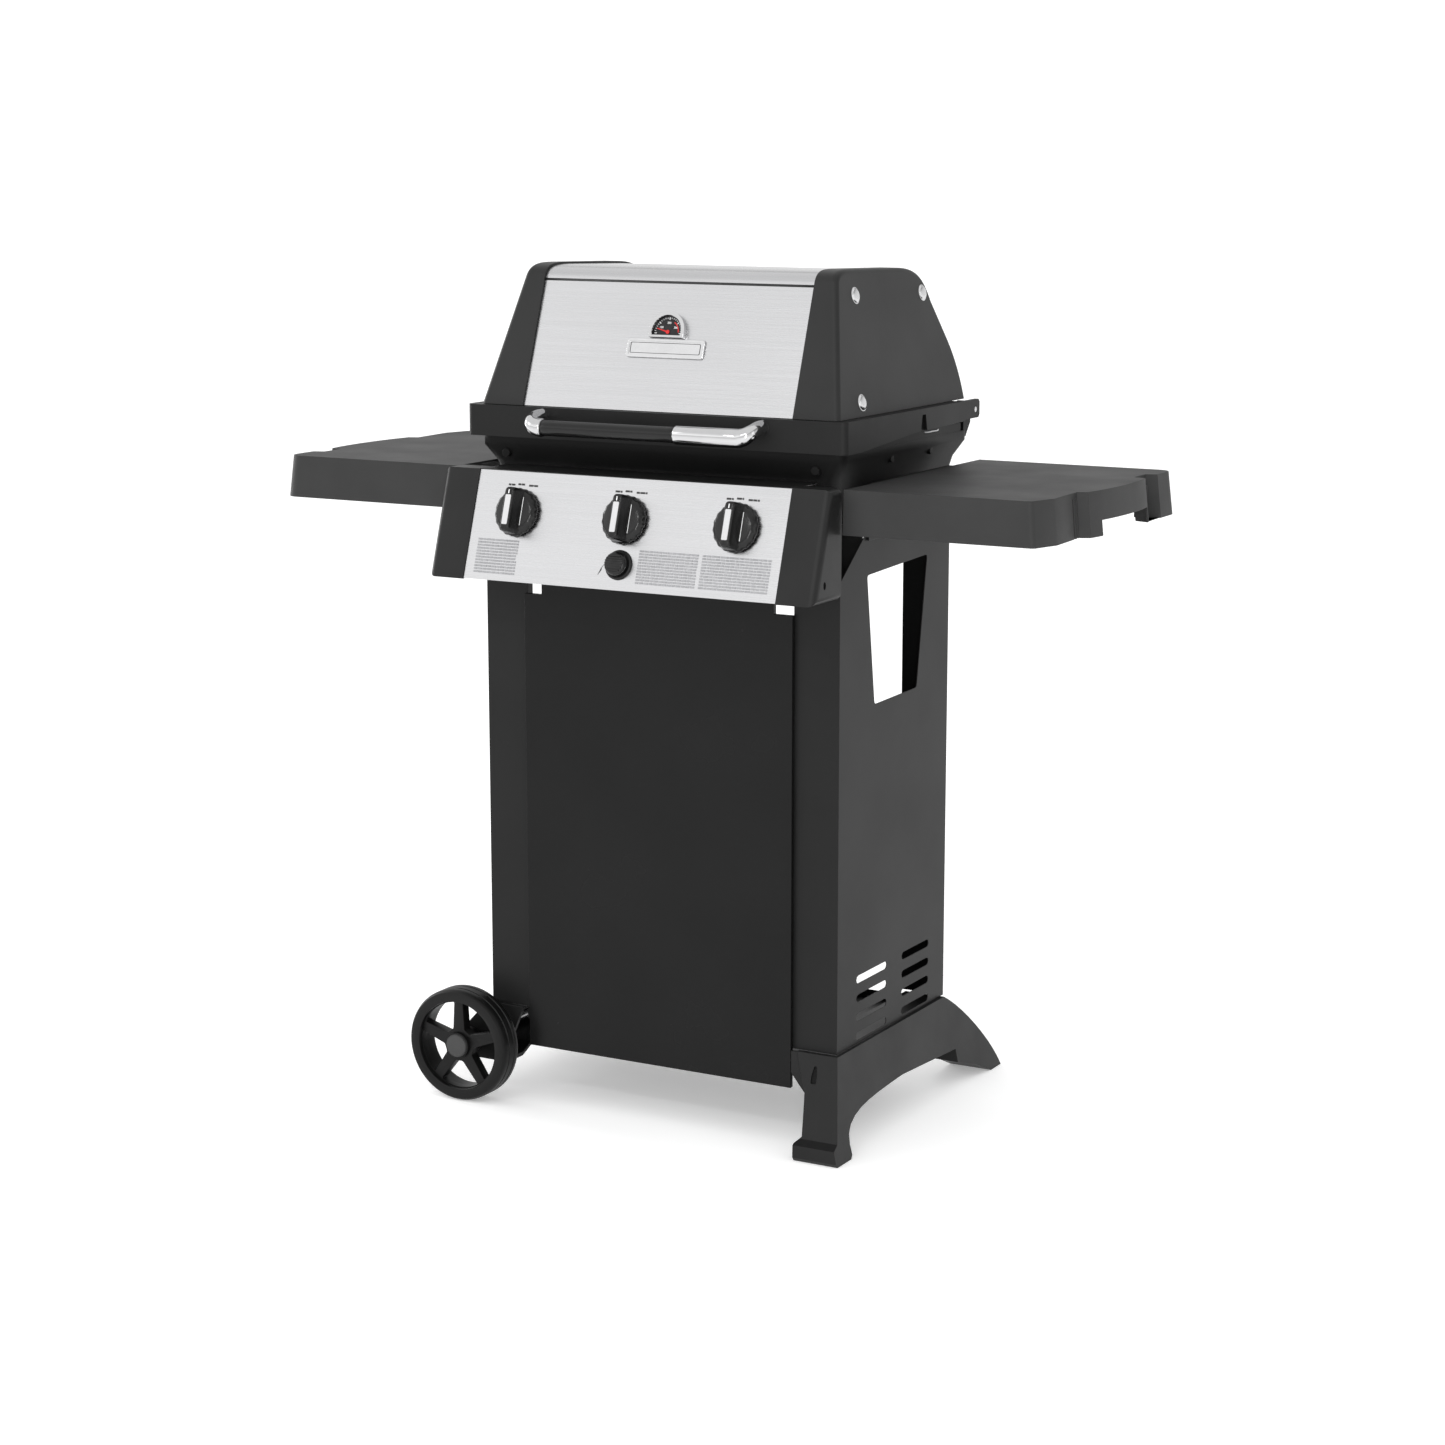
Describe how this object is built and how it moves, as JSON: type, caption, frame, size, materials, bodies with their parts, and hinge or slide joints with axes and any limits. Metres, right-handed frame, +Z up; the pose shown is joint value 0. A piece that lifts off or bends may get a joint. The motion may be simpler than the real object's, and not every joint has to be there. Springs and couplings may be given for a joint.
{
  "type": "gas barbecue grill",
  "caption": "Free-standing gas barbecue grill: hinged lid, firebox and side shelves on a sheet-metal cart with moulded feet at one end and wheels at the other.",
  "frame": {"origin": "on the ground, in the middle of the outline seen from above", "axes": "+Z up, +X to the right of a person facing the front, the front faces -Y"},
  "size_m": [1.1802, 0.594, 1.1651],
  "materials": {
    "black_paint": "satin black paint",
    "grey_paint": "satin dark grey powder coat",
    "black_resin": "fine-grained moulded black",
    "shelf_resin": "fine-grained moulded dark grey",
    "cast_black": "black heat-resistant coating on a casting",
    "stainless": "brushed along its length",
    "chrome": "polished",
    "zinc": "zinc plated",
    "cast_iron": "seasoned matt",
    "brass": "machined",
    "burner_steel": "heat-tinted stainless",
    "dial_black": "enamelled dial",
    "needle_red": "red lacquer"
  },
  "bodies": {
    "cart": {"axle": "zinc", "base_left": "black_resin", "base_right": "black_resin", "bottle_tray": "grey_paint", "burner_centre": "burner_steel", "burner_left": "burner_steel", "burner_right": "burner_steel", "console_cap_left": "black_resin", "console_cap_right": "black_resin", "control_panel": "stainless", "cooking_grid_left": "cast_iron", "cooking_grid_right": "cast_iron", "firebox": "cast_black", "front_panel": "black_paint", "front_rail": "grey_paint", "gas_manifold": "zinc", "gas_valve_centre": "brass", "gas_valve_left": "brass", "gas_valve_right": "brass", "heat_tent": "burner_steel", "hinge_pin_left": "zinc", "hinge_pin_right": "zinc", "igniter_housing": "black_resin", "rear_rail": "grey_paint", "shelf_bracket_left": "grey_paint", "shelf_bracket_right": "grey_paint", "side_panel_left": "grey_paint", "side_panel_right": "grey_paint", "side_shelf_left": "shelf_resin", "side_shelf_right": "shelf_resin", "tray_rails": "grey_paint", "warming_rack": "chrome"},
    "lid": {"lid_band": "cast_black", "lid_cap_left": "cast_black", "lid_cap_right": "cast_black", "lid_panel": "stainless", "lid_back": "cast_black", "handle_end_left": "chrome", "handle_end_right": "chrome", "handle_grip": "black_resin", "name_plate": "chrome", "thermometer_bezel": "chrome", "thermometer_dial": "dial_black", "lid_bolt_front_left": "chrome", "lid_bolt_front_right": "chrome", "lid_bolt_top_left": "chrome", "lid_bolt_top_right": "chrome", "lid_bolt_rear_left": "chrome", "lid_bolt_rear_right": "chrome"},
    "wheel_front": {"wheel_front": "black_resin"},
    "wheel_rear": {"wheel_rear": "black_resin"},
    "igniter_button": {"igniter_button": "black_resin"},
    "needle": {"thermometer_needle": "needle_red"},
    "drip_tray": {"drip_tray": "zinc"},
    "stem_left": {"valve_stem_left": "brass"},
    "knob_left": {"knob_left": "black_resin"},
    "stem_centre": {"valve_stem_centre": "brass"},
    "knob_centre": {"knob_centre": "black_resin"},
    "stem_right": {"valve_stem_right": "brass"},
    "knob_right": {"knob_right": "black_resin"}
  },
  "joints": [
    {"name": "lid_hinge", "type": "hinge", "parent": "cart", "child": "lid", "pos_m": [0, 0.2035, 0.9635], "axis": [-1, 0, 0], "range_deg": [0, 88]},
    {"name": "knob_press_left", "type": "slide", "parent": "cart", "child": "stem_left", "axis": [0, 0.951, -0.3092], "range_m": [0, 0.003], "stiffness_N_per_m": 900, "springref_m": -0.001},
    {"name": "knob_turn_left", "type": "hinge", "parent": "stem_left", "child": "knob_left", "pos_m": [-0.166, -0.25823, 0.8425], "axis": [0, -0.951, 0.3092], "range_deg": [0, 180]},
    {"name": "knob_press_centre", "type": "slide", "parent": "cart", "child": "stem_centre", "axis": [0, 0.951, -0.3092], "range_m": [0, 0.003], "stiffness_N_per_m": 900, "springref_m": -0.001},
    {"name": "knob_turn_centre", "type": "hinge", "parent": "stem_centre", "child": "knob_centre", "pos_m": [0, -0.25823, 0.8425], "axis": [0, -0.951, 0.3092], "range_deg": [0, 180]},
    {"name": "knob_press_right", "type": "slide", "parent": "cart", "child": "stem_right", "axis": [0, 0.951, -0.3092], "range_m": [0, 0.003], "stiffness_N_per_m": 900, "springref_m": -0.001},
    {"name": "knob_turn_right", "type": "hinge", "parent": "stem_right", "child": "knob_right", "pos_m": [0.166, -0.25823, 0.8425], "axis": [0, -0.951, 0.3092], "range_deg": [0, 180]},
    {"name": "igniter_press", "type": "slide", "parent": "cart", "child": "igniter_button", "axis": [0, 0.951, -0.3092], "range_m": [0, 0.003], "stiffness_N_per_m": 700, "springref_m": -0.001},
    {"name": "wheel_front_spin", "type": "hinge", "parent": "cart", "child": "wheel_front", "pos_m": [-0.297, -0.2135, 0.08], "axis": [0, 1, 0], "continuous": true},
    {"name": "wheel_rear_spin", "type": "hinge", "parent": "cart", "child": "wheel_rear", "pos_m": [-0.297, 0.2735, 0.08], "axis": [0, 1, 0], "continuous": true},
    {"name": "needle_turn", "type": "hinge", "parent": "lid", "child": "needle", "pos_m": [0, -0.14491, 1.07947], "axis": [0, 0.9422, -0.3351], "range_deg": [0, 150]},
    {"name": "drip_tray_slide", "type": "slide", "parent": "cart", "child": "drip_tray", "axis": [0, 1, 0], "range_m": [0, 0.16]}
  ]
}
